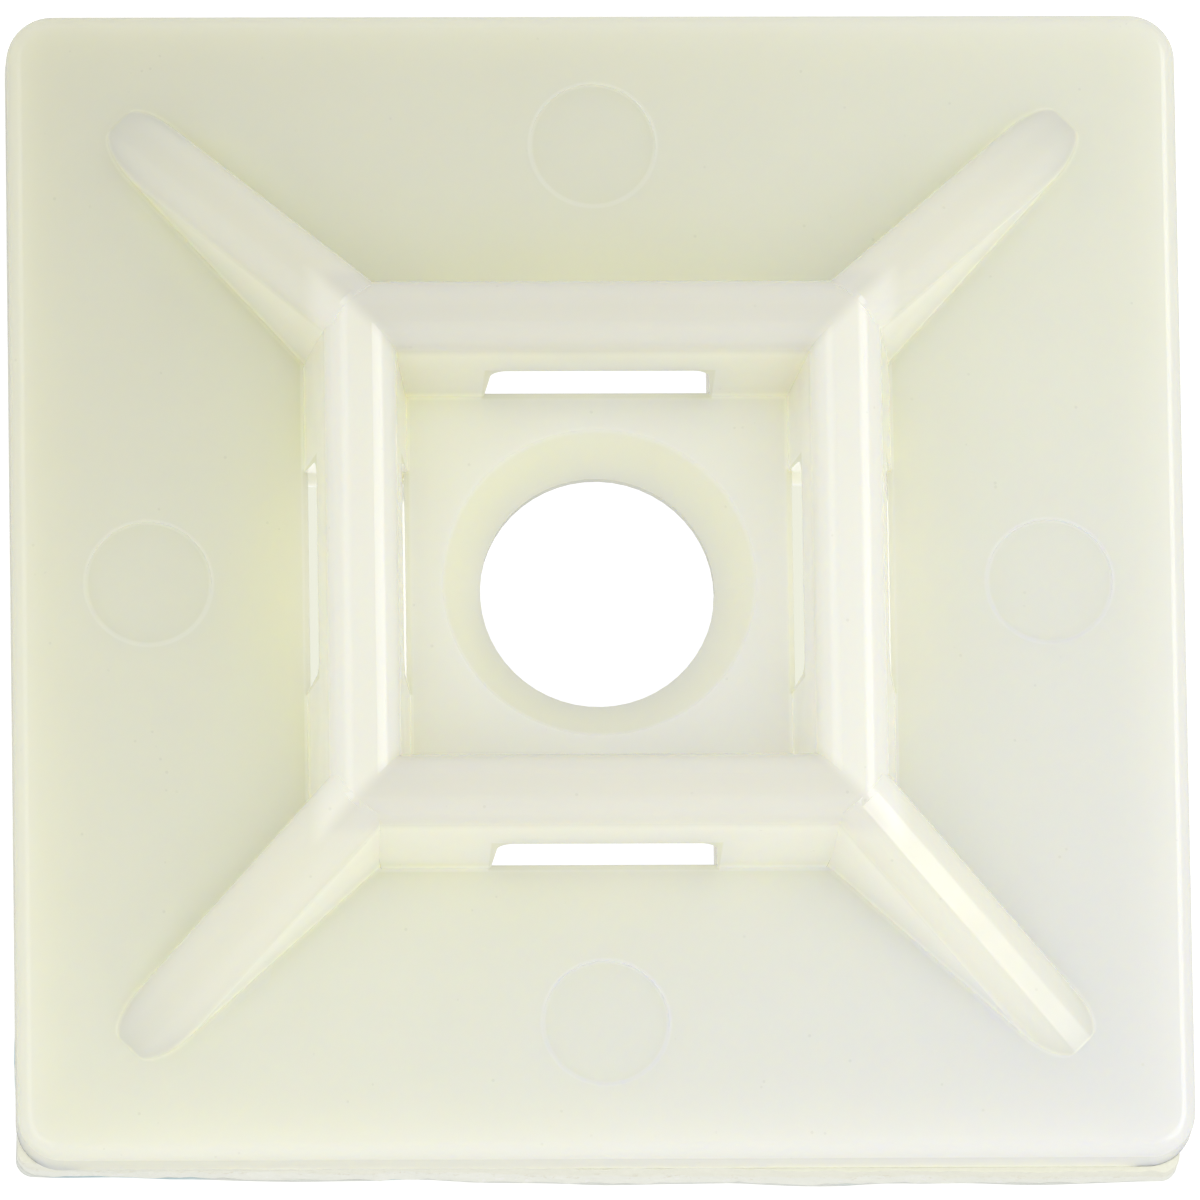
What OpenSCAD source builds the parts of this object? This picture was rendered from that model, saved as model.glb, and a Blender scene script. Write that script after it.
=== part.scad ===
// Four-way cable tie mount with a self-adhesive foam pad.
// A square moulded nylon plate carries a raised square frame of four bridges. A tie threads
// under any of them, and a screw can hold the plate through the countersunk centre hole.
// Units are millimetres. The origin is the middle of the release liner's underside, +Z is up.

/* [Plate] */
// Side of the square plate
plate_w = 28; // [26:0.5:40]
// Thickness of the plate
plate_t = 1.4; // [1:0.1:3]
// Radius of the plate's corners, seen from above
plate_corner_r = 1.1; // [0.6:0.1:3]
// Radius along the plate's upper edge
plate_edge_r = 0.35; // [0.1:0.05:0.5]

/* [Bridge frame] */
// Outer side of the frame where it meets the plate
frame_w = 14; // [13.5:0.1:16]
// Thickness of a bridge where it meets the plate
bridge_t = 2.45; // [2.1:0.05:2.6]
// Height of the bridges above the plate
bridge_h = 3.55; // [2.8:0.05:5]
// Radius of the rounded shoulders along the bridges
shoulder_r = 0.6; // [0.2:0.05:0.6]
// Mould draft of the bridge and rib walls, in degrees
wall_draft = 7; // [2:0.5:8]

/* [Tie passages] */
// Width of the passage under each bridge
tie_w = 5.4; // [3:0.1:6.5]
// Height of the passage above the plate
tie_h = 1.7; // [1.2:0.05:2.2]
// Radius of the passage's upper corners
tie_corner_r = 0.4; // [0.1:0.05:0.8]
// Draft of the passage's sides, in degrees
tie_draft = 4; // [0.5:0.5:8]
// How far the slot in the plate stays inside the bridge's base on either side
slot_inset = 0.08; // [0.02:0.01:0.3]

/* [Corner ribs] */
// Thickness of a rib across its shoulders
rib_t = 1.55; // [1.3:0.05:2]
// Radius of the rounded shoulders along the ribs
rib_shoulder_r = 0.6; // [0.2:0.05:0.6]
// Distance from the plate's edge to the rib's tip, measured square to the edge
rib_edge_gap = 2.65; // [2:0.05:3.5]

/* [Screw hole] */
// Diameter of the hole for the screw
screw_d = 5.6; // [3:0.1:6.5]
// Diameter of the countersink at the plate's upper face
sink_d = 7.5; // [6.8:0.1:8.5]
// Height of the straight land below the countersink
screw_land = 0.3; // [0.1:0.05:0.6]

/* [Ejector marks] */
// Diameter of the round mark that each ejector pin leaves
ejector_d = 3; // [1.5:0.1:4]
// Distance from the plate's edge to the middle of each mark
ejector_edge_gap = 3.25; // [3:0.05:3.8]
// Depth of each mark
ejector_depth = 0.05; // [0.02:0.01:0.1]

/* [Foam pad and liner] */
// How much narrower than the plate the pad and liner are along X
pad_short_x = 0.4; // [0:0.1:3]
// How much shorter than the plate the pad and liner are along Y
pad_short_y = 0; // [0:0.1:3]
// Turn of the pad and liner against the plate, in degrees
pad_turn = -0.6; // [-2:0.1:2]
// Thickness of the double-sided foam tape
pad_t = 1; // [0.5:0.1:2]
// Diameter of the opening in the pad and liner
pad_hole_d = 16; // [15:0.5:20]
// Radius of the pad's and liner's corners
pad_corner_r = 0.4; // [0.1:0.1:1]
// Thickness of the release liner
liner_t = 0.12; // [0.05:0.01:0.3]

/* [Hidden] */
$fn = 64;

nylon_colour = [0.90, 0.90, 0.82];
foam_colour = [0.95, 0.95, 0.92];
liner_colour = [0.86, 0.90, 0.94];

// Heights of the stack, from the liner's underside up
pad_z = liner_t;
plate_z = pad_z + pad_t;

// How far a cut or a trimming block runs past the face it meets
past = 1;

// Bridge frame: centre line and inner base of a bridge, from the middle of the plate
bridge_mid = (frame_w - bridge_t) / 2;
frame_in = frame_w / 2 - bridge_t;

// Rib: its ridge starts at the corner of the frame's flat top and meets the plate at its tip
rib_start = (bridge_mid + arc_x(bridge_t / 2, bridge_h, shoulder_r, wall_draft)) * sqrt(2);
rib_tip = (plate_w / 2 - rib_edge_gap) * sqrt(2);
rib_slope = atan(bridge_h / (rib_tip - rib_start));
rib_ridge = bridge_h / sin(rib_slope);
rib_base = rib_t / 2 + bridge_h * tan(wall_draft);

// Diagonal distance at which the frame's outer corners are cut flat behind the ribs
frame_corner = max(rib_start, frame_w / sqrt(2) - rib_base);

// Distance from a wall's middle to the centre of a top corner's arc, for a section with a
// base of half width b, height h, top corners of radius r and sides drafted by d degrees
function arc_x(b, h, r, d) = b - (h - r) * tan(d) - r / cos(d);

// Drafted section with two round top corners, its base on y = 0
module drafted_section(b, h, r, d) {
    cx = arc_x(b, h, r, d);
    cy = h - r;
    tx = cx + r * cos(d);
    ty = cy + r * sin(d);
    polygon([[-b, 0], [b, 0], [tx, ty], [cx, h], [-cx, h], [-tx, ty]]);
    for (s = [-1, 1])
        translate([s * cx, cy])
            circle(r = r);
}

// Section of the plate's rim, from an inner line at x = 0 out to x = reach
module rim_section(reach) {
    square([reach - plate_edge_r, plate_t]);
    square([reach, plate_t - plate_edge_r]);
    translate([reach - plate_edge_r, plate_t - plate_edge_r])
        circle(r = plate_edge_r);
}

// Plate with round corners and a rounded upper edge, standing on z = 0
module plate_slab() {
    run = plate_w - 2 * plate_corner_r;
    translate([-run / 2, -run / 2, 0])
        cube([run, run, plate_t]);
    for (a = [0:90:270])
        rotate([0, 0, a])
            translate([run / 2, run / 2, 0]) {
                rotate([90, 0, 0])
                    linear_extrude(height = run)
                        rim_section(plate_corner_r);
                rotate_extrude(angle = 90)
                    rim_section(plate_corner_r);
            }
}

// One bridge along X at the +Y side, mitred at its ends and cut flat at the outer corners
module bridge() {
    out = frame_w / 2;
    cut = frame_corner / sqrt(2);
    intersection() {
        translate([-out, bridge_mid, 0])
            rotate([90, 0, 90])
                linear_extrude(height = frame_w)
                    drafted_section(bridge_t / 2, bridge_h, shoulder_r, wall_draft);
        linear_extrude(height = bridge_h + past)
            polygon([[0, 0], [cut, cut], [2 * cut - out, out], [out - 2 * cut, out], [-cut, cut]]);
    }
}

// One rib on the +X +Y diagonal, sloping from the frame's corner down to its tip
module rib() {
    intersection() {
        rotate([0, 0, 45])
            translate([rib_start, 0, bridge_h])
                rotate([0, rib_slope, 0])
                    translate([0, 0, -bridge_h])
                        rotate([90, 0, 90])
                            linear_extrude(height = rib_ridge + past)
                                drafted_section(rib_base, bridge_h, rib_shoulder_r, wall_draft);
        cube([plate_w / 2, plate_w / 2, bridge_h + past]);
    }
}

// Space a tie threads through under the +Y bridge, with its slot down through the plate
module tie_passage() {
    translate([0, bridge_mid, 0])
        rotate([90, 0, 0])
            linear_extrude(height = bridge_t + 2 * past, center = true)
                drafted_section(tie_w / 2, tie_h, tie_corner_r, tie_draft);
    translate([-tie_w / 2, frame_in + slot_inset, -plate_t - past])
        cube([tie_w, bridge_t - 2 * slot_inset, plate_t + past]);
}

// Hole for the screw, with a countersink down to a short straight land
module screw_hole() {
    translate([0, 0, -past])
        cylinder(d = screw_d, h = plate_t + past);
    translate([0, 0, screw_land])
        cylinder(d1 = screw_d, d2 = sink_d, h = plate_t - screw_land);
    translate([0, 0, plate_t])
        cylinder(d = sink_d, h = past);
}

// Round marks of the four ejector pins
module ejector_marks() {
    for (a = [0:90:270])
        rotate([0, 0, a])
            translate([plate_w / 2 - ejector_edge_gap, 0, plate_t - ejector_depth])
                cylinder(d = ejector_d, h = ejector_depth + past);
}

// Moulded nylon body: plate, frame of four bridges and four corner ribs, all one piece
module mount() {
    color(nylon_colour)
        translate([0, 0, plate_z])
            difference() {
                union() {
                    plate_slab();
                    translate([0, 0, plate_t])
                        for (a = [0:90:270])
                            rotate([0, 0, a]) {
                                bridge();
                                rib();
                            }
                }
                translate([0, 0, plate_t])
                    for (a = [0:90:270])
                        rotate([0, 0, a])
                            tie_passage();
                screw_hole();
                ejector_marks();
            }
}

// Square outline with round corners
module round_outline(w, l, r) {
    square([w - 2 * r, l], center = true);
    square([w, l - 2 * r], center = true);
    for (x = [-1, 1], y = [-1, 1])
        translate([x * (w / 2 - r), y * (l / 2 - r)])
            circle(r = r);
}

// Layer of thickness t in the outline that pad and liner share, with its round opening
module backing(t) {
    rotate([0, 0, pad_turn])
        difference() {
            linear_extrude(height = t)
                round_outline(plate_w - pad_short_x, plate_w - pad_short_y, pad_corner_r);
            translate([0, 0, -past])
                cylinder(d = pad_hole_d, h = t + 2 * past);
        }
}

// Double-sided foam tape stuck to the plate's underside
module foam_pad() {
    color(foam_colour)
        translate([0, 0, pad_z])
            backing(pad_t);
}

// Thin release liner that covers the tape until it is used
module release_liner() {
    color(liner_colour)
        backing(liner_t);
}

mount();
foam_pad();
release_liner();
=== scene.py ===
"""Studio scene of a square adhesive cable tie mount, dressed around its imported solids."""

import logging
import math
from dataclasses import dataclass, field
from enum import Enum

import bmesh
import bpy
from mathutils import Matrix, Vector


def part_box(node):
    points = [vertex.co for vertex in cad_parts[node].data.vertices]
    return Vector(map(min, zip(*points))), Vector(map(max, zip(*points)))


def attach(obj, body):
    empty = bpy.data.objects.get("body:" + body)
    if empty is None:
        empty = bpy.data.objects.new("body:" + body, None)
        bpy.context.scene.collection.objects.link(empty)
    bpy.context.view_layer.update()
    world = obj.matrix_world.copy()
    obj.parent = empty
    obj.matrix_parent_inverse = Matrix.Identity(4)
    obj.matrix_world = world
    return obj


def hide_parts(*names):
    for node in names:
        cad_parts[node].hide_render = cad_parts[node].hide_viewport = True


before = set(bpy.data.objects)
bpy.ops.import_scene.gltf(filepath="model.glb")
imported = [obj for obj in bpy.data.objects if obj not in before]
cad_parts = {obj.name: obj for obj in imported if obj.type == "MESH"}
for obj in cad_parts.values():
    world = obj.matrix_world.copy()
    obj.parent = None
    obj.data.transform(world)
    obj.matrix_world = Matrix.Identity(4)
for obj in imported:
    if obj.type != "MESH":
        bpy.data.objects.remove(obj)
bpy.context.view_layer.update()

LOG = logging.getLogger("tie_mount")
MM = 0.001
BODY = "root"

Colour = tuple[float, float, float]
Band = tuple[float, float]
WHITE: Colour = (1.0, 1.0, 1.0)
BLACK: Colour = (0.0, 0.0, 0.0)
DIAGONAL = math.sqrt(0.5)
DECK = 2.52  # height of the plate's face over the floor, in millimetres
MERGE_WITHIN = 0.012 * MM
FLAT_WITHIN = math.radians(0.5)
SMOOTH_UNDER = math.radians(40)


def shifted(base: float, band: Band) -> Band:
    """Moves both ends of a band by a base."""
    return base + band[0], base + band[1]


class Run(Enum):
    """Which way an edge of a layer's wall runs."""

    UPRIGHT = "upright"
    ALONG = "along"


class Reach(Enum):
    """What a lamp's light is for."""

    SHADING = "shading"
    GLOSS = "gloss"


class Value:
    """A number in a shader, whose arithmetic adds Math nodes."""

    def __init__(self, tree: bpy.types.NodeTree, socket: bpy.types.NodeSocket) -> None:
        """Wraps one output socket of a node tree."""
        self.tree = tree
        self.socket = socket

    def maths(self, operation: str, first: object, second: object = 0.0) -> "Value":
        """Adds one Math node.

        Args:
            operation: The Math node's operation.
            first: A value or a number.
            second: A value or a number.

        Returns:
            The node's result.
        """
        node = self.tree.nodes.new("ShaderNodeMath")
        node.operation = operation
        for slot, value in enumerate((first, second)):
            if isinstance(value, Value):
                self.tree.links.new(value.socket, node.inputs[slot])
            else:
                node.inputs[slot].default_value = float(value)
        return Value(self.tree, node.outputs[0])

    def __add__(self, other: object) -> "Value":
        """Sum."""
        return self.maths("ADD", self, other)

    __radd__ = __add__

    def __sub__(self, other: object) -> "Value":
        """Difference."""
        return self.maths("SUBTRACT", self, other)

    def __rsub__(self, other: object) -> "Value":
        """Difference, from a number."""
        return self.maths("SUBTRACT", other, self)

    def __mul__(self, other: object) -> "Value":
        """Product."""
        return self.maths("MULTIPLY", self, other)

    __rmul__ = __mul__

    def __pow__(self, other: object) -> "Value":
        """Power."""
        return self.maths("POWER", self, other)

    def __abs__(self) -> "Value":
        """Absolute value."""
        return self.maths("ABSOLUTE", self)

    def most(self, other: object) -> "Value":
        """The larger of two values."""
        return self.maths("MAXIMUM", self, other)

    def least(self, other: object) -> "Value":
        """The smaller of two values."""
        return self.maths("MINIMUM", self, other)

    def step(self, low: float, high: float) -> "Value":
        """Adds a smooth step.

        Args:
            low: Where it is 0.
            high: Where it is 1, which may be the smaller of the two.

        Returns:
            The step.
        """
        node = self.tree.nodes.new("ShaderNodeMapRange")
        node.interpolation_type = "SMOOTHSTEP"
        self.tree.links.new(self.socket, node.inputs["Value"])
        flip = low > high
        node.inputs["From Min"].default_value = high if flip else low
        node.inputs["From Max"].default_value = low if flip else high
        node.inputs["To Min"].default_value = 1.0 if flip else 0.0
        node.inputs["To Max"].default_value = 0.0 if flip else 1.0
        return Value(self.tree, node.outputs["Result"])


class Shader:
    """A node material with a Principled surface."""

    def __init__(self, name: str) -> None:
        """Makes an empty node material.

        Args:
            name: The material's name.
        """
        self.material = bpy.data.materials.new(name)
        self.material.use_nodes = True
        self.tree = self.material.node_tree
        self.tree.nodes.clear()
        output = self.tree.nodes.new("ShaderNodeOutputMaterial")
        self.surface = self.tree.nodes.new("ShaderNodeBsdfPrincipled")
        self.tree.links.new(self.surface.outputs[0], output.inputs["Surface"])

    def node(self, kind: str, settings: dict, inputs: dict) -> bpy.types.Node:
        """Adds one node.

        Args:
            kind: The node's type, without its ShaderNode prefix.
            settings: Properties, set before the inputs.
            inputs: Values or links of its sockets, by name or number.

        Returns:
            The new node.
        """
        node = self.tree.nodes.new("ShaderNode" + kind)
        for key, value in settings.items():
            setattr(node, key, value)
        for key, value in inputs.items():
            self.feed(node.inputs[key], value)
        return node

    def feed(self, socket: bpy.types.NodeSocket, value: object) -> None:
        """Links or sets one socket.

        Args:
            socket: The socket.
            value: A value or socket to link, or a number or colour to set.
        """
        if isinstance(value, Value):
            self.tree.links.new(value.socket, socket)
        elif isinstance(value, bpy.types.NodeSocket):
            self.tree.links.new(value, socket)
        elif isinstance(value, tuple) and len(value) == 3 and socket.type == "RGBA":
            socket.default_value = (*value, 1.0)
        else:
            socket.default_value = value

    def finish(self, **sockets: object) -> None:
        """Feeds the Principled surface's sockets, named with underscores for spaces."""
        for name, value in sockets.items():
            self.feed(self.surface.inputs[name.replace("_", " ")], value)

    def value(self, socket: bpy.types.NodeSocket) -> Value:
        """Wraps a socket for arithmetic."""
        return Value(self.tree, socket)

    def place(self) -> tuple[bpy.types.NodeSocket, Value, Value, Value]:
        """Finds the place on the object, in millimetres.

        Returns:
            The place as a vector, and its three parts.
        """
        coords = self.node("TexCoord", {}, {})
        scaled = self.node("VectorMath", {"operation": "SCALE"},
                           {0: coords.outputs["Object"], "Scale": 1 / MM})
        parts = self.node("SeparateXYZ", {}, {0: scaled.outputs[0]})
        x, y, z = (self.value(out) for out in parts.outputs)
        return scaled.outputs[0], x, y, z

    def noise(self, place: bpy.types.NodeSocket, scale: float, detail: float = 2.0,
              rough: float = 0.5) -> Value:
        """Adds smooth noise.

        Args:
            place: The place on the object, in millimetres.
            scale: How many waves it has to the millimetre.
            detail: How many finer waves are laid on them.
            rough: How strong the finer waves are.

        Returns:
            The noise, from 0 to 1.
        """
        node = self.node("TexNoise", {}, {"Vector": place, "Scale": scale, "Detail": detail,
                                          "Roughness": rough})
        return self.value(node.outputs["Fac"])

    def cells(self, place: bpy.types.NodeSocket, scale: float) -> Value:
        """Distance field of scattered cells, with so many cells to the millimetre."""
        node = self.node("TexVoronoi", {}, {"Vector": place, "Scale": scale})
        return self.value(node.outputs["Distance"])

    def blend(self, factor: object, first: object, second: object) -> bpy.types.NodeSocket:
        """Mixes two colours.

        Args:
            factor: The second colour's share.
            first: The first colour.
            second: The second colour.

        Returns:
            The mixed colour.
        """
        node = self.tree.nodes.new("ShaderNodeMix")
        node.data_type = "RGBA"
        colours = [socket for socket in node.inputs if socket.type == "RGBA"]
        self.feed(node.inputs["Factor"], factor)
        self.feed(colours[0], first)
        self.feed(colours[1], second)
        return [socket for socket in node.outputs if socket.type == "RGBA"][0]

    def bump(self, height: Value, strength: float, depth: float,
             under: bpy.types.NodeSocket | None = None) -> bpy.types.NodeSocket:
        """Turns a height into a normal.

        Args:
            height: The height, from 0 to 1.
            strength: How strongly it counts.
            depth: The depth it stands for, in metres.
            under: A normal that it adds to, or none.

        Returns:
            The normal.
        """
        inputs = {"Height": height, "Strength": strength, "Distance": depth}
        if under is not None:
            inputs["Normal"] = under
        return self.node("Bump", {}, inputs).outputs["Normal"]


@dataclass(frozen=True)
class MouldingPlan:
    """Where the moulding's parts lie, in millimetres from its middle and from the floor."""

    deck: float = DECK
    half_plate: float = 14.0
    frame_foot: float = 7.0
    frame_in: float = 4.55
    well_half: float = 4.7
    sink_r: float = 3.75
    mark_out: float = 10.75
    mark_r: float = 1.5
    rib_end: float = 16.05
    rib_tip: float = 11.35
    rib_fall: float = 0.427
    rib_flat: float = 0.244
    rib_round: float = 0.6
    rib_half: float = 0.87
    draft: float = 0.123
    tie_half: float = 2.7
    tie_high: float = 1.7


@dataclass(frozen=True)
class NylonTones:
    """Colours of the moulding's parts, with painted light and shade: paler or yellower with the
    light that comes through them, darker on tops and inside the passages, and painted highlights on
    fine edges.
    """

    plate: Colour = (0.90, 0.90, 0.775)
    # Painted light: foot, beside, well and sink are paler than the plate, most of them yellower,
    # for light that comes through the nylon.
    foot: Colour = (0.965, 0.965, 0.78)
    beside: Colour = (0.985, 0.985, 0.80)
    well: Colour = (0.98, 0.98, 0.88)
    sink: Colour = (0.96, 0.96, 0.81)
    # Painted shade: the inside of the tie passages is darker.
    passage: Colour = (0.85, 0.85, 0.70)
    # Painted light and shade: walls are paler than tops, and the bridges at ±Y are darker than
    # those at ±X.
    wall_along: Colour = (0.975, 0.975, 0.91)
    wall_across: Colour = (0.93, 0.93, 0.86)
    top_along: Colour = (0.895, 0.895, 0.85)
    top_across: Colour = (0.765, 0.765, 0.735)
    # Painted shade and light: rib tops are darker, and their lower sides paler.
    rib: Colour = (0.81, 0.81, 0.745)
    rib_side: Colour = (0.945, 0.945, 0.865)
    # Painted highlight on fine edges; the same pale colour also marks the bubble patches.
    edge: Colour = (1.0, 1.0, 0.90)
    crease_glow: Colour = (0.05, 0.05, 0.042)


@dataclass(frozen=True)
class NylonBands:
    """Where one look fades into the next, in millimetres from the line or height it belongs to."""

    raised: Band = (0.15, 0.55)
    foot: Band = (3.5, 0.0)
    ridge: Band = (-0.02, 0.06)
    ridge_end: Band = (0.0, 0.03)
    frame_to_rib: Band = (0.0, 0.2)
    beside: Band = (1.4, 0.1)
    beside_end: Band = (0.5, -1.0)
    well: Band = (0.3, 0.0)
    sink_square: Band = (0.4, -0.4)
    mitre: Band = (-0.3, 0.3)
    bridge_top: Band = (2.6, 3.3)
    bridge_to_rib: Band = (-0.4, 0.2)
    rib_side: Band = (-0.45, -0.05)
    passage_roof: Band = (0.1, 0.0)
    passage_in: Band = (-0.1, 0.0)
    passage_out: Band = (0.1, 0.0)
    passage_side: Band = (0.08, 0.02)
    mark_line: Band = (0.09, 0.03)
    sink_line: Band = (0.10, 0.03)
    foot_line: Band = (0.07, 0.03)
    crease_start: Band = (-0.05, 0.1)
    crease_end: Band = (0.0, 0.02)
    rib_crease: Band = (0.11, 0.02)
    frame_crease: Band = (0.11, 0.03)
    crease_over: Band = (0.3, 0.1)
    crease_under: Band = (-0.1, -0.03)
    bubble_in: Band = (0.0, 0.1)
    bubble_out: Band = (0.62, 0.56)
    bubble_start: Band = (0.3, 1.0)
    bubble_end: Band = (0.0, -0.8)
    half_turn: Band = (-0.01, 0.01)


class Spot:
    """A point of the moulding, as distances in millimetres from the plate's middle."""

    def __init__(self, shader: Shader, plan: MouldingPlan) -> None:
        """Adds the nodes that find the point and the section of the nearest rib.

        Args:
            shader: The nylon's shader.
            plan: Where the moulding's parts lie.
        """
        self.vector, self.x, self.y, self.z = shader.place()
        self.wide, self.long = abs(self.x), abs(self.y)
        self.out = self.wide.most(self.long)
        self.aside = self.wide.least(self.long)
        self.square = self.x * self.x + self.y * self.y
        self.off_rib = (self.wide - self.long) * DIAGONAL
        along = (self.wide + self.long) * DIAGONAL
        self.ridge = ((plan.rib_end - along) * plan.rib_fall).most(0.0)
        short = plan.rib_round - self.ridge.least(plan.rib_round)
        shoulder = (plan.rib_round ** 2 - short * short).most(0.0) ** 0.5
        below = (self.ridge - plan.rib_round).most(0.0)
        self.rib_foot = plan.rib_flat + shoulder + below * plan.draft


@dataclass(frozen=True)
class NaturalNylon:
    """Natural, milky nylon out of a polished mould, with light and shade painted into its colour: a
    little yellower on the thin plate, where light comes through it.
    """

    plan: MouldingPlan = MouldingPlan()
    tones: NylonTones = NylonTones()
    bands: NylonBands = NylonBands()
    roughness: float = 0.15
    index: float = 1.53
    scatter: float = 2.0 * MM
    reach: Colour = (1.0, 0.9, 0.6)
    # How strongly highlights are painted on fine edges.
    edge_light: float = 0.55
    foot_line_off: float = 0.03
    bubble_light: float = 0.35
    bubble_grain: float = 1.1
    bubble_reach: float = 0.9
    speck_grain: float = 3.0
    speck_chance_grain: float = 1.1
    speck_chance: Band = (0.62, 0.66)
    speck_size: Band = (0.14, 0.09)
    speck_dark: float = 0.07
    evenness: float = 0.985
    # Painted light: brighter towards the right and the front.
    painted_light_right: float = 0.085
    painted_light_front: float = 0.095
    painted_light_raised_cut: float = 0.4
    cloud_grain: float = 0.22
    cloud_depth: float = 0.03
    warmth: float = 0.98
    cool_right: float = 0.01
    swell_grain: float = 0.55
    swell_depth: float = 0.02 * MM
    fine_grain: float = 9.0
    fine_depth: float = 0.0008 * MM

    def deck_colour(self, shader: Shader, spot: Spot) -> bpy.types.NodeSocket:
        """Mixes the colour of the plate's face, with painted light: yellower beside frame and ribs,
        paler inside, and painted highlights on fine edges.

        Args:
            shader: The nylon's shader.
            spot: The point.

        Returns:
            The colour.
        """
        plan, bands, tones = self.plan, self.bands, self.tones
        foot = spot.out.step(*shifted(plan.frame_foot, bands.foot))
        beside = abs(spot.off_rib).step(*shifted(plan.rib_half, bands.beside))
        beside = beside * spot.out.step(*shifted(plan.rib_tip, bands.beside_end))
        well = spot.out.step(*shifted(plan.well_half, bands.well))
        sink = spot.square.step(*shifted(plan.sink_r ** 2, bands.sink_square))
        # Painted light: paler and yellower by the frame's foot and beside the ribs, paler in the
        # well and on the countersink.
        base = shader.blend(beside, shader.blend(foot, tones.plate, tones.foot), tones.beside)
        base = shader.blend(sink, shader.blend(well, base, tones.well), tones.sink)
        # Painted highlights on the fine edges.
        base = shader.blend(self.edges(spot) * self.edge_light, base, tones.edge)
        return shader.blend(self.bubbles(shader, spot) * self.bubble_light, base, tones.edge)

    def upper_colour(self, shader: Shader, spot: Spot) -> bpy.types.NodeSocket:
        """Mixes the colour of the bridges and ribs, with painted light and shade: walls paler than
        tops, the bridges at ±Y darker than those at ±X, rib tops darker and their lower sides
        paler.

        Args:
            shader: The nylon's shader.
            spot: The point.

        Returns:
            The colour.
        """
        plan, bands, tones = self.plan, self.bands, self.tones
        across = (spot.long - spot.wide).step(*bands.mitre)
        tops = shader.blend(across, tones.top_along, tones.top_across)
        walls = shader.blend(across, tones.wall_along, tones.wall_across)
        # Painted light and shade: paler walls below, darker tops above.
        bridges = shader.blend(spot.z.step(*shifted(plan.deck, bands.bridge_top)), walls, tops)
        # Painted shade on the rib tops, painted light on their lower sides.
        on_rib = spot.out.step(*shifted(plan.frame_foot, bands.bridge_to_rib))
        rib_side = (spot.ridge + plan.deck - spot.z).step(*shifted(plan.rib_round, bands.rib_side))
        return shader.blend(on_rib, bridges, shader.blend(rib_side, tones.rib, tones.rib_side))

    def raised(self, spot: Spot) -> Value:
        """Tells bridges and ribs from the plate.

        Args:
            spot: The point.

        Returns:
            1 on a bridge or rib, and 0 on the plate's face.
        """
        plan, bands = self.plan, self.bands
        high = spot.z.step(*shifted(plan.deck, bands.raised))
        on_ridge = (spot.rib_foot - abs(spot.off_rib)).step(*bands.ridge)
        on_ridge = on_ridge * spot.ridge.step(*bands.ridge_end)
        return high.most(on_ridge * spot.out.step(*shifted(plan.frame_foot, bands.frame_to_rib)))

    def passage(self, spot: Spot) -> Value:
        """Finds the inside of the tie passages and their slots, where shade is painted.

        Args:
            spot: The point.

        Returns:
            1 inside, and 0 elsewhere.
        """
        plan, bands = self.plan, self.bands
        inside = spot.z.step(*shifted(plan.deck + plan.tie_high, bands.passage_roof))
        inside = inside * spot.out.step(*shifted(plan.frame_in, bands.passage_in))
        inside = inside * spot.out.step(*shifted(plan.frame_foot, bands.passage_out))
        return inside * spot.aside.step(*shifted(plan.tie_half, bands.passage_side))

    def colour(self, shader: Shader, spot: Spot) -> bpy.types.NodeSocket:
        """Mixes the colour of each part of the moulding by its place, darkens the inside of the
        passages as painted shade, paints light that grows towards the right and the front, less on
        bridges and ribs, makes it a little bluer towards the right, and varies its tone unevenly at
        random with clouds and dust specks.

        Args:
            shader: The nylon's shader.
            spot: The point.

        Returns:
            The colour.
        """
        half = self.plan.half_plate
        raised = self.raised(spot)
        deck, upper = self.deck_colour(shader, spot), self.upper_colour(shader, spot)
        mixed = shader.blend(raised, deck, upper)
        # Painted shade inside the tie passages.
        mixed = shader.blend(self.passage(spot), mixed, self.tones.passage)
        # Painted light: brighter towards the right and the front, less so on bridges and ribs.
        painted_lean = spot.x * (self.painted_light_right / half) - spot.y * (self.painted_light_front / half)
        painted_slope = self.evenness + painted_lean * (1.0 - raised * self.painted_light_raised_cut)
        cloud = self.evenness + shader.noise(spot.vector, self.cloud_grain) * self.cloud_depth
        shade = painted_slope * cloud * (1.0 - self.specks(shader, spot) * self.speck_dark)
        blue = shade * (self.warmth + spot.x * (self.cool_right / half))
        grey = shader.node("CombineXYZ", {}, {0: shade, 1: shade, 2: blue})
        tinted = shader.node("VectorMath", {"operation": "MULTIPLY"},
                             {0: mixed, 1: grey.outputs[0]})
        return tinted.outputs[0]

    def edges(self, spot: Spot) -> Value:
        """Finds where highlights are painted on fine moulded edges: ejector marks, countersink and
        frame foot.

        Args:
            spot: The point.

        Returns:
            1 on such an edge, and 0 elsewhere.
        """
        plan, bands = self.plan, self.bands
        off_mark = spot.out - plan.mark_out
        from_mark = (off_mark * off_mark + spot.aside * spot.aside) ** 0.5
        mark = abs(from_mark - plan.mark_r).step(*bands.mark_line)
        sink = abs(spot.square ** 0.5 - plan.sink_r).step(*bands.sink_line)
        foot = abs(spot.out - plan.frame_foot - self.foot_line_off).step(*bands.foot_line)
        return mark.most(sink).most(foot)

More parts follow.
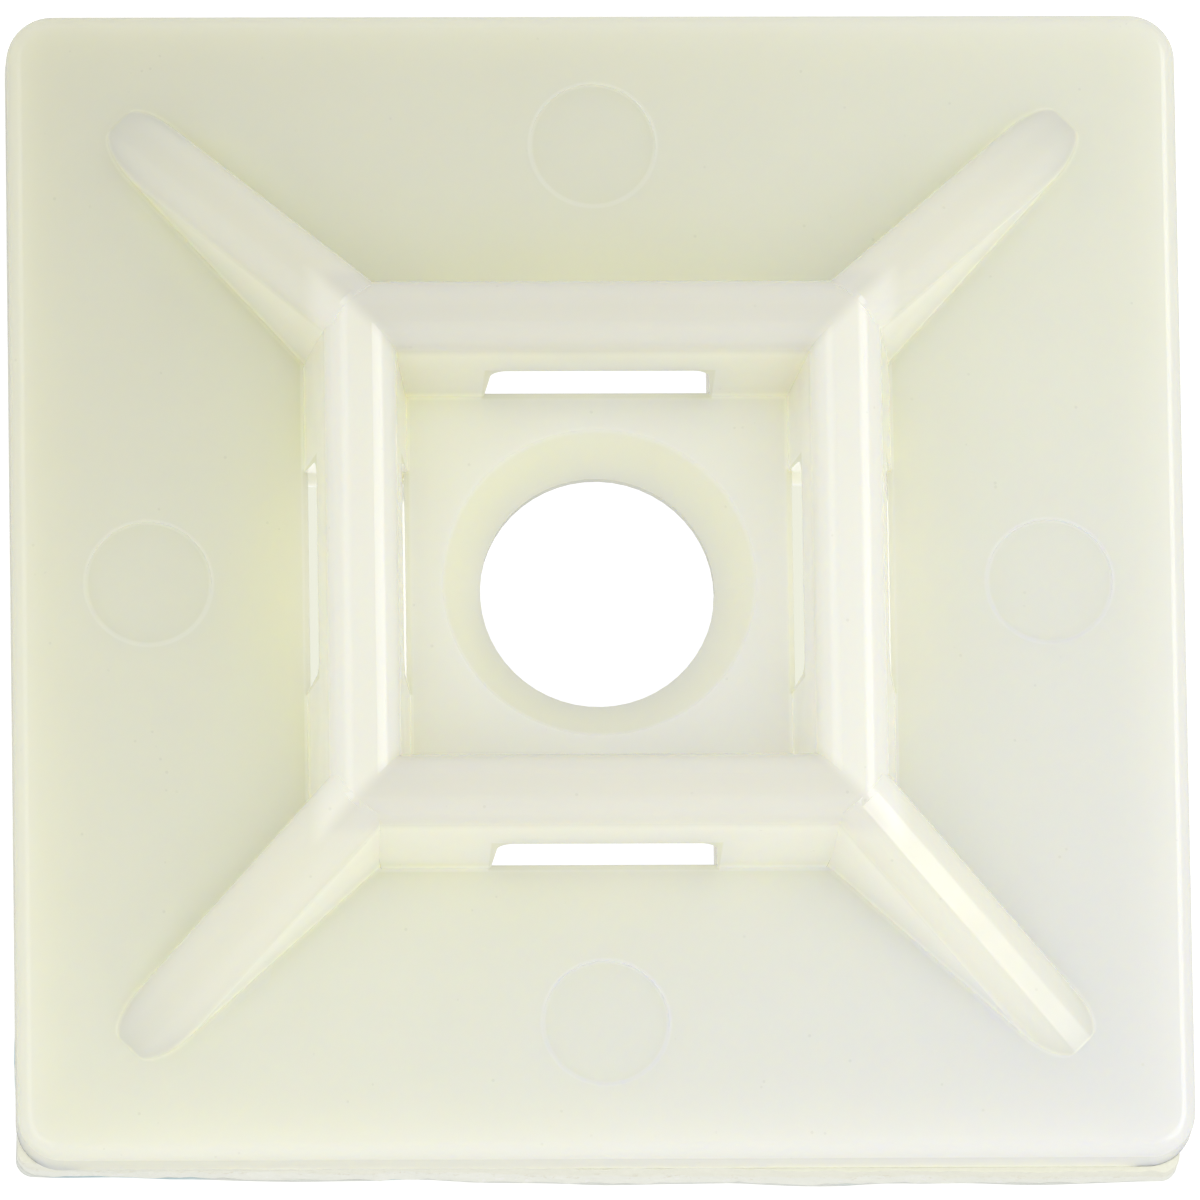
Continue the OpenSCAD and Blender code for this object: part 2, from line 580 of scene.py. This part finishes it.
    def creases(self, spot: Spot) -> Value:
        """Finds the feet of frame and ribs, where light that passes through the nylon comes out.

        Args:
            spot: The point.

        Returns:
            1 in such a crease, and 0 elsewhere.
        """
        plan, bands = self.plan, self.bands
        beyond = spot.out.step(*shifted(plan.frame_foot, bands.crease_start))
        beyond = beyond * spot.ridge.step(*bands.crease_end)
        rib = abs(abs(spot.off_rib) - spot.rib_foot).step(*bands.rib_crease) * beyond
        outer = abs(spot.out - plan.frame_foot).step(*bands.frame_crease)
        inner = abs(spot.out - plan.frame_in).step(*bands.frame_crease)
        low = spot.z.step(*shifted(plan.deck, bands.crease_over))
        low = low * spot.z.step(*shifted(plan.deck, bands.crease_under))
        return rib.most(outer).most(inner) * low

    def bubbles(self, shader: Shader, spot: Spot) -> Value:
        """Finds the pale patches beside each rib's foot, on the side towards -Y.

        Args:
            shader: The nylon's shader.
            spot: The point.

        Returns:
            1 on a patch, and 0 elsewhere.
        """
        plan, bands = self.plan, self.bands
        side = spot.off_rib * (spot.y.step(*bands.half_turn) * 2.0 - 1.0)
        lumps = shader.noise(spot.vector, self.bubble_grain, 3.0, 0.6) * self.bubble_reach
        band = side.step(*shifted(plan.rib_half, bands.bubble_in))
        band = band * (side - lumps).step(*bands.bubble_out)
        along = spot.out.step(*shifted(plan.frame_foot, bands.bubble_start))
        return band * along * spot.out.step(*shifted(plan.rib_tip, bands.bubble_end))

    def specks(self, shader: Shader, spot: Spot) -> Value:
        """Scatters tiny dust specks: 1 on a speck, and 0 elsewhere."""
        chance = shader.noise(spot.vector, self.speck_chance_grain, 1.0).step(*self.speck_chance)
        return shader.cells(spot.vector, self.speck_grain).step(*self.speck_size) * chance

    def material(self) -> bpy.types.Material:
        """Builds the nylon's material.

        Returns:
            The material.
        """
        shader = Shader("natural_nylon")
        spot = Spot(shader, self.plan)
        glow = shader.blend(self.creases(spot), BLACK, self.tones.crease_glow)
        swell = shader.noise(spot.vector, self.swell_grain, 1.0)
        fine = shader.noise(spot.vector, self.fine_grain, 3.0)
        surface = shader.bump(fine, 1.0, self.fine_depth, shader.bump(swell, 1.0, self.swell_depth))
        shader.finish(Base_Color=self.colour(shader, spot), Roughness=self.roughness,
                      IOR=self.index, Subsurface_Weight=1.0, Subsurface_Scale=self.scatter,
                      Subsurface_Radius=self.reach, Normal=surface, Emission_Color=glow,
                      Emission_Strength=1.0)
        return shader.material


@dataclass(frozen=True)
class TapeFoam:
    """White closed-cell foam of the double-sided tape, with a ragged cut edge and open cells."""

    upper: Colour = (0.94, 0.94, 0.85)
    fleck: Colour = (0.83, 0.80, 0.69)
    lower: Colour = (0.96, 0.97, 0.92)
    spark: Colour = (1.0, 1.0, 0.99)
    glow: Colour = (0.40, 0.40, 0.37)
    roughness: float = 0.75
    layer_grain: float = 0.7
    layer_sway: float = 0.5
    layers: Band = (0.50, 0.70)
    dot_grain: float = 4.5
    fleck_chance: Band = (0.55, 0.70)
    fleck_low: Band = (0.25, 0.5)
    fleck_high: Band = (0.85, 0.6)
    fleck_strength: float = 0.8
    spark_chance: Band = (0.60, 0.66)
    spark_high: Band = (0.5, 0.35)
    cell_grain: float = 5.0
    cell_share: float = 0.7
    torn_grain: float = 12.0
    torn_share: float = 0.3
    pit_strength: float = 0.6
    pit_depth: float = 0.05 * MM
    rim_inside: Band = (13.0, 13.8)
    rim_outside: Band = (14.0, 13.95)
    rim_corner: Band = (12.8, 12.4)
    rim_rear: Band = (-6.0, 12.0)
    rear_loss: float = 0.95
    facing_up: Band = (0.5, 0.9)
    top: Band = (1.05, 1.1)

    def under_plate(self, shader: Shader, x: Value, y: Value, z: Value) -> Value:
        """Finds the stuck face's rim, which hands on the light that comes through the nylon.

        Args:
            shader: The foam's shader.
            x: Place along X.
            y: Place along Y.
            z: Height.

        Returns:
            How much light the face hands on, from 0 to 1.
        """
        wide, long = abs(x), abs(y)
        out = wide.most(long)
        rim = out.step(*self.rim_inside) * out.step(*self.rim_outside)
        rim = rim * (1.0 - y.step(*self.rim_rear) * self.rear_loss)
        rim = rim * wide.least(long).step(*self.rim_corner)
        facing = shader.node("NewGeometry", {}, {})
        upward = shader.node("SeparateXYZ", {}, {0: facing.outputs["True Normal"]})
        return shader.value(upward.outputs[2]).step(*self.facing_up) * z.step(*self.top) * rim

    def material(self) -> bpy.types.Material:
        """Builds the foam's material.

        Returns:
            The material.
        """
        shader = Shader("tape_foam")
        place, x, y, z = shader.place()
        height = z + (shader.noise(place, self.layer_grain) - 0.5) * self.layer_sway
        body = shader.blend(height.step(*self.layers), self.lower, self.upper)
        flecks = shader.noise(place, self.dot_grain, 3.0, 0.7).step(*self.fleck_chance)
        flecks = flecks * height.step(*self.fleck_low) * height.step(*self.fleck_high)
        body = shader.blend(flecks * self.fleck_strength, body, self.fleck)
        sparks = shader.noise(place, self.dot_grain).step(*self.spark_chance)
        body = shader.blend(sparks * height.step(*self.spark_high), body, self.spark)
        cells = shader.cells(place, self.cell_grain) * self.cell_share
        torn = shader.noise(place, self.torn_grain) * self.torn_share
        glow = shader.blend(self.under_plate(shader, x, y, z), BLACK, self.glow)
        shader.finish(Base_Color=body, Roughness=self.roughness,
                      Normal=shader.bump(cells + torn, self.pit_strength, self.pit_depth),
                      Emission_Color=glow, Emission_Strength=1.0)
        return shader.material


@dataclass(frozen=True)
class LinerFilm:
    """Thin siliconed film of the release liner, greyish with faint blue patches."""

    pale: Colour = (0.80, 0.82, 0.80)
    blue: Colour = (0.50, 0.68, 0.76)
    roughness: float = 0.35
    patch_grain: float = 0.22
    patch_chance: Band = (0.54, 0.62)
    patch_strength: float = 0.8
    streak_grain: float = 2.5
    streak_strength: float = 0.5
    streak_depth: float = 0.02 * MM

    def material(self) -> bpy.types.Material:
        """Builds the liner's material.

        Returns:
            The material.
        """
        shader = Shader("liner_film")
        place, _, _, _ = shader.place()
        patches = shader.noise(place, self.patch_grain).step(*self.patch_chance)
        streaks = shader.noise(place, self.streak_grain)
        shader.finish(Base_Color=shader.blend(patches * self.patch_strength, self.pale, self.blue),
                      Roughness=self.roughness,
                      Normal=shader.bump(streaks, self.streak_strength, self.streak_depth))
        return shader.material


@dataclass(frozen=True)
class Softbox:
    """One rectangular lamp that faces the middle of the mount."""

    name: str
    azimuth: float
    elevation: float
    wide: float
    high: float
    watts: float
    reach: Reach = Reach.SHADING
    distance: float = 0.36

    def hang(self) -> None:
        """Hangs the lamp at its azimuth, from +X towards +Y, and its elevation, in degrees."""
        lamp = bpy.data.lights.new(self.name, "AREA")
        lamp.shape = "RECTANGLE"
        lamp.size, lamp.size_y = self.wide, self.high
        lamp.energy = self.watts
        holder = bpy.data.objects.new(self.name, lamp)
        bpy.context.scene.collection.objects.link(holder)
        around, up = math.radians(self.azimuth), math.radians(self.elevation)
        flat = math.cos(up)
        towards = Vector((math.cos(around) * flat, math.sin(around) * flat, math.sin(up)))
        holder.location = towards * self.distance
        holder.rotation_euler = towards.to_track_quat("Z", "Y").to_euler()
        holder.visible_camera = False
        holder.visible_glossy = self.reach is Reach.GLOSS
        holder.visible_diffuse = self.reach is Reach.SHADING


@dataclass(frozen=True)
class LitDisc:
    """One ring of the light table under the pad, for the camera alone or for the mount alone.

    Its glow is half its colour at twice the strength, so that it may pass 1. Under the side slots
    its colour may differ from its middle; on the disc for the camera this is painted shade of the
    floor under the plate.
    """

    name: str
    inner: float
    outer: float
    middle_glow: float
    side_glow: Colour
    seen: bool
    side: Band = (4.6, 4.8)
    corners: int = 96
    boost: float = 2.0

    def lay(self, height: float) -> None:
        """Lays the ring over the floor.

        Args:
            height: How far over the floor, in metres.
        """
        bpy.ops.object.select_all(action="DESELECT")
        bpy.ops.mesh.primitive_circle_add(vertices=self.corners, radius=self.outer,
                                          fill_type="NGON", location=(0, 0, height))
        disc = bpy.context.object
        disc.name = self.name
        bpy.ops.object.mode_set(mode="EDIT")
        if self.inner > 0:
            bpy.ops.mesh.inset(thickness=self.outer - self.inner)
            bpy.ops.mesh.delete(type="FACE")
        bpy.ops.object.mode_set(mode="OBJECT")
        bpy.ops.object.transform_apply(location=True)
        shader = Shader(self.name)
        _, x, _, _ = shader.place()
        middle = (self.middle_glow / self.boost,) * 3
        side = tuple(part / self.boost for part in self.side_glow)
        shader.finish(Base_Color=BLACK, Specular_IOR_Level=0.0, Emission_Strength=self.boost,
                      Emission_Color=shader.blend(abs(x).step(*self.side), middle, side))
        disc.data.materials.append(shader.material)
        show(disc, self.seen)


@dataclass(frozen=True)
class SlotLight:
    """A lit strip under one tie slot, which sends light up through it."""

    name: str
    side: int
    inner: float = 4.7 * MM
    outer: float = 6.9 * MM
    length: float = 5.2 * MM
    glow: float = 1.35
    height: float = 0.05 * MM

    def lay(self) -> None:
        """Lays the strip on the floor; it is out of the camera's sight."""
        middle = self.side * (self.inner + self.outer) / 2
        bpy.ops.object.select_all(action="DESELECT")
        bpy.ops.mesh.primitive_plane_add(size=1.0, location=(middle, 0, self.height))
        strip = bpy.context.object
        strip.name = self.name
        strip.scale = (self.outer - self.inner, self.length, 1.0)
        bpy.ops.object.transform_apply(location=True, scale=True)
        shader = Shader(self.name)
        shader.finish(Base_Color=BLACK, Specular_IOR_Level=0.0, Emission_Color=WHITE,
                      Emission_Strength=self.glow)
        strip.data.materials.append(shader.material)
        strip.visible_camera = False


@dataclass
class Studio:
    """Floor, light table, softboxes and camera."""

    tilt_x: float = 3.015
    tilt_y: float = 13.542
    roll: float = 0.885
    distance: float = 675.35 * MM
    lens: float = 850.3
    shift: tuple[float, float] = (0.00044, -0.015)
    room: float = 0.795
    room_colour: Colour = (1.005, 1.0, 0.955)
    floor_glow: float = 0.45
    bounce_glow: float = 0.0
    bounce_height: float = -0.02 * MM
    floor_size: float = 4.0
    floor_grey: Colour = (0.8, 0.8, 0.8)
    floor_roughness: float = 0.9
    disc_gap: float = 0.01 * MM
    sensor: float = 36.0
    clip: Band = (0.05, 20.0)
    boxes: tuple[Softbox, ...] = (
        Softbox("key", 345.0, 45.0, 0.30, 0.32, 0.13),
        Softbox("front", 270.0, 56.0, 0.34, 0.14, 0.086),
        Softbox("left", 180.0, 50.0, 0.14, 0.14, 0.045),
        Softbox("low_left", 180.0, 12.0, 0.30, 0.12, 0.02),
        Softbox("low_front", 290.0, 12.0, 0.30, 0.12, 0.042),
        Softbox("gloss_right", 0.0, 61.0, 0.28, 0.19, 0.42, Reach.GLOSS),
        Softbox("gloss_left", 180.0, 67.0, 0.25, 0.18, 0.14, Reach.GLOSS),
        Softbox("gloss_rib", 333.0, 45.5, 0.036, 0.036, 0.012, Reach.GLOSS),
    )
    lit_discs: tuple[LitDisc, ...] = (
        # Painted shade: under the side slots the disc for the camera is dimmer and yellower, like
        # the floor in shade under the plate.
        LitDisc("table_in_sight", 0.0, 7.9 * MM, 1.06, (0.85, 0.86, 0.73), True),
        LitDisc("table_light", 3.5 * MM, 7.9 * MM, 0.70, (0.70, 0.70, 0.70), False),
    )

    def camera(self) -> None:
        """Places the camera over the plate, leaning towards the front and a little to the left."""
        left, front = math.sin(math.radians(self.tilt_x)), math.sin(math.radians(self.tilt_y))
        back = Vector((-left, -front, math.sqrt(1 - left * left - front * front)))
        right = Vector((0, 1, 0)).cross(back).normalized()
        up = back.cross(right)
        cosine, sine = math.cos(math.radians(self.roll)), math.sin(math.radians(self.roll))
        right, up = cosine * right - sine * up, sine * right + cosine * up
        data = bpy.data.cameras.new("camera")
        data.sensor_width = self.sensor
        data.lens = self.lens
        data.shift_x, data.shift_y = self.shift
        data.clip_start, data.clip_end = self.clip
        camera = bpy.data.objects.new("camera", data)
        bpy.context.scene.collection.objects.link(camera)
        aim = Vector((0, 0, DECK * MM))
        turn = Matrix((right, up, back)).transposed().to_4x4()
        camera.matrix_world = Matrix.Translation(aim + back * self.distance) @ turn
        bpy.context.scene.camera = camera

    def light(self) -> None:
        """Hangs the softboxes and sets the room's even light."""
        for box in self.boxes:
            box.hang()
        world = bpy.data.worlds.new("room")
        bpy.context.scene.world = world
        world.use_nodes = True
        background = world.node_tree.nodes["Background"]
        background.inputs["Color"].default_value = (*self.room_colour, 1.0)
        background.inputs["Strength"].default_value = self.room

    def sheet(self, name: str, height: float, glow: float, seen: bool) -> None:
        """Lays one large pale sheet, for the camera alone or for the mount alone.

        Args:
            name: The sheet's name.
            height: Its height, in metres.
            glow: How much light it gives of its own.
            seen: Whether it is for the camera.
        """
        bpy.ops.object.select_all(action="DESELECT")
        bpy.ops.mesh.primitive_plane_add(size=self.floor_size, location=(0, 0, height))
        bpy.ops.object.transform_apply(location=True)
        sheet = bpy.context.object
        sheet.name = name
        shader = Shader(name)
        shader.finish(Base_Color=self.floor_grey, Roughness=self.floor_roughness,
                      Emission_Color=WHITE, Emission_Strength=glow)
        sheet.data.materials.append(shader.material)
        show(sheet, seen)
        sheet.visible_shadow = not seen

    def floor(self) -> None:
        """Lays the plain pale floor, and the sheet that sends its light back up."""
        self.sheet("floor", 0.0, self.floor_glow, True)
        self.sheet("floor_bounce", self.bounce_height, self.bounce_glow, False)

    def build(self) -> None:
        """Sets up the whole studio."""
        self.camera()
        self.light()
        self.floor()
        for layer, disc in enumerate(self.lit_discs):
            disc.lay((layer + 1) * self.disc_gap)
        for name, side in (("slot_light_left", -1), ("slot_light_right", 1)):
            SlotLight(name, side).lay()
        settings = bpy.context.scene.view_settings
        settings.view_transform = "Standard"
        settings.look = "None"


@dataclass
class MountBody:
    """The moulded nylon body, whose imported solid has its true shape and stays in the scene."""

    node: str = "mount"
    finish: NaturalNylon = field(default_factory=NaturalNylon)

    def dress(self) -> None:
        """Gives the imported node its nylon."""
        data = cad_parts[self.node].data
        data.materials.clear()
        data.materials.append(self.finish.material())
        LOG.info("%s: %d faces, finished in %s", self.node, len(data.polygons),
                 data.materials[0].name)


def show(piece: bpy.types.Object, seen: bool) -> None:
    """Shows a stage piece to the camera alone, or to everything but the camera.

    Args:
        piece: The stage piece.
        seen: Whether it is for the camera.
    """
    piece.visible_camera = seen
    piece.visible_diffuse = not seen
    piece.visible_glossy = not seen
    piece.visible_transmission = not seen


def only(piece: bpy.types.Object) -> None:
    """Selects one object alone and makes it the active one.

    Args:
        piece: The object.
    """
    bpy.ops.object.select_all(action="DESELECT")
    piece.select_set(True)
    bpy.context.view_layer.objects.active = piece


def carried_copy(node: str, name: str) -> bpy.types.Object:
    """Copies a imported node's mesh into a new piece, merged and with its flat faces in one.

    Args:
        node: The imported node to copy.
        name: The new piece's name.

    Returns:
        The new piece, which is the active object.
    """
    piece = bpy.data.objects.new(name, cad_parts[node].data.copy())
    bpy.context.scene.collection.objects.link(piece)
    piece.data.materials.clear()
    only(piece)
    bpy.ops.object.mode_set(mode="EDIT")
    bpy.ops.mesh.select_all(action="SELECT")
    bpy.ops.mesh.remove_doubles(threshold=MERGE_WITHIN)
    bpy.ops.mesh.dissolve_limited(angle_limit=FLAT_WITHIN)
    bpy.ops.object.mode_set(mode="OBJECT")
    return piece


def apply_modifier(piece: bpy.types.Object, kind: str, **settings: object) -> None:
    """Adds one modifier to a piece, sets it and applies it.

    Args:
        piece: The piece.
        kind: The modifier's type.
        **settings: Its properties.
    """
    modifier = piece.modifiers.new(kind.lower(), kind)
    for key, value in settings.items():
        setattr(modifier, key, value)
    only(piece)
    bpy.ops.object.modifier_apply(modifier=modifier.name)


@dataclass
class BackingLayer:
    """One thin layer under the plate: a square sheet with a round opening and a worked edge."""

    node: str
    piece_name: str
    slot_name: str
    finish: TapeFoam | LinerFilm
    opening_r: float = 8.0 * MM
    column: float = 0.15 * MM
    rows: int = 6
    clearance: float = 0.01 * MM
    hair: float = 0.001 * MM
    past_opening: float = 1.0 * MM
    front_past_opening: float = 4.0 * MM
    steepness: float = 0.5
    ragged: float = 0.08 * MM
    ragged_grain: float = 0.5 * MM
    wave: float = 0.06 * MM
    wave_grain: float = 3.0 * MM
    bow: float = 0.15 * MM
    bow_height: float = 1.2 * MM
    half_width: float = 13.8 * MM

    def wall_edges(self, mesh: bmesh.types.BMesh, run: Run) -> list[bmesh.types.BMEdge]:
        """Lists the outer wall's edges.

        Args:
            mesh: The layer's mesh in edit mode.
            run: Which way the wanted edges run.

        Returns:
            The edges.
        """
        found = []
        for edge in mesh.edges:
            one, two = (corner.co for corner in edge.verts)
            outside = min(one.xy.length, two.xy.length) > self.opening_r + self.past_opening
            rise = abs(one.z - two.z)
            upright = rise > self.steepness * edge.calc_length()
            if outside and upright == (run is Run.UPRIGHT):
                found.append(edge)
        return found

    def subdivide(self, run: Run, cuts: int, shortest: float) -> None:
        """Subdivides the outer wall's edges one way, apart from those shorter than a length.

        Args:
            run: Which way the edges run.
            cuts: How many cuts each edge gets.
            shortest: The length from which edges are cut, in metres.
        """
        bpy.ops.mesh.select_all(action="DESELECT")
        mesh = bmesh.from_edit_mesh(bpy.context.object.data)
        for edge in self.wall_edges(mesh, run):
            edge.select_set(edge.calc_length() > shortest)
        bmesh.update_edit_mesh(bpy.context.object.data)
        bpy.ops.mesh.subdivide(number_cuts=cuts)

    def build(self) -> bpy.types.Object:
        """Makes the layer's piece.

        Returns:
            The piece.
        """
        bpy.context.tool_settings.mesh_select_mode = (False, True, False)
        piece = carried_copy(self.node, self.piece_name)
        low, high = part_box(self.node)
        bpy.ops.object.mode_set(mode="EDIT")
        side = high[0] - low[0]
        self.subdivide(Run.ALONG, round(side / self.column), side / 2)
        if self.rows > 1:
            self.subdivide(Run.UPRIGHT, self.rows - 1, 0.0)
        bpy.ops.object.mode_set(mode="OBJECT")
        wall = piece.vertex_groups.new(name="wall")
        outer_r = self.opening_r + self.past_opening
        outer = [corner.index for corner in piece.data.vertices if corner.co.xy.length > outer_r]
        wall.add(outer, 1.0, "REPLACE")
        for axis in "XY":
            self.displace(piece, axis, "wave", self.wave, self.wave_grain, 1)
            self.displace(piece, axis, "ragged", self.ragged, self.ragged_grain, 3)
        self.bow_out(piece)
        self.lower_top(piece, high[2])
        return piece

    def displace(self, piece: bpy.types.Object, axis: str, label: str, depth: float,
                 grain: float, detail: int) -> None:
        """Moves the outer wall in and out along one axis, unless its depth is none.

        Args:
            piece: The layer.
            axis: X or Y.
            label: What the unevenness is called.
            depth: How far it moves at most, in metres.
            grain: The size of its lumps, in metres.
            detail: How many times finer lumps are laid on them.
        """
        if depth == 0:
            return
        texture = bpy.data.textures.new(f"{self.piece_name}_{label}_{axis}", "CLOUDS")
        texture.noise_scale = grain
        texture.noise_depth = detail
        apply_modifier(piece, "DISPLACE", texture=texture, strength=2 * depth, mid_level=0.5,
                       direction=axis, vertex_group="wall", texture_coords="GLOBAL")

    def bow_out(self, piece: bpy.types.Object) -> None:
        """Lets the front edge bow out a little between its corners, and more at the bottom.

        Args:
            piece: The layer.
        """
        for vertex in piece.data.vertices:
            if vertex.co.y < -self.opening_r - self.front_past_opening:
                along = max(0.0, 1.0 - (vertex.co.x / self.half_width) ** 2)
                vertex.co.y -= self.bow * along * (1.0 - vertex.co.z / self.bow_height)

    def lower_top(self, piece: bpy.types.Object, top: float) -> None:
        """Leaves a hair's breadth between the layer and what lies on it, so that light passes.

        Args:
            piece: The layer.
            top: The height of its upper face, in metres.
        """
        for vertex in piece.data.vertices:
            if vertex.co.z > top - self.hair:
                vertex.co.z = top - self.clearance

    def dress(self, piece: bpy.types.Object) -> None:
        """Gives the piece its finish and smooth shading, hangs it under the body and hides the
        imported node.

        Args:
            piece: The layer.
        """
        piece.data.materials.append(self.finish.material())
        only(piece)
        bpy.ops.object.shade_smooth_by_angle(angle=SMOOTH_UNDER)
        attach(piece, BODY)
        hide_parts(self.node)
        LOG.info("%s: %d faces", piece.name, len(piece.data.polygons))


def main() -> None:
    """Builds the scene."""
    logging.basicConfig(level=logging.INFO)
    Studio().build()
    MountBody().dress()
    foam = BackingLayer("foam_pad", "foam_tape", "foam", TapeFoam())
    tape = foam.build()
    foam.dress(tape)
    film = BackingLayer("release_liner", "liner_film", "liner", LinerFilm(), column=0.5 * MM,
                        rows=1, ragged=0.0, wave=0.12 * MM)
    film.dress(film.build())


if __name__ == "__main__":
    main()
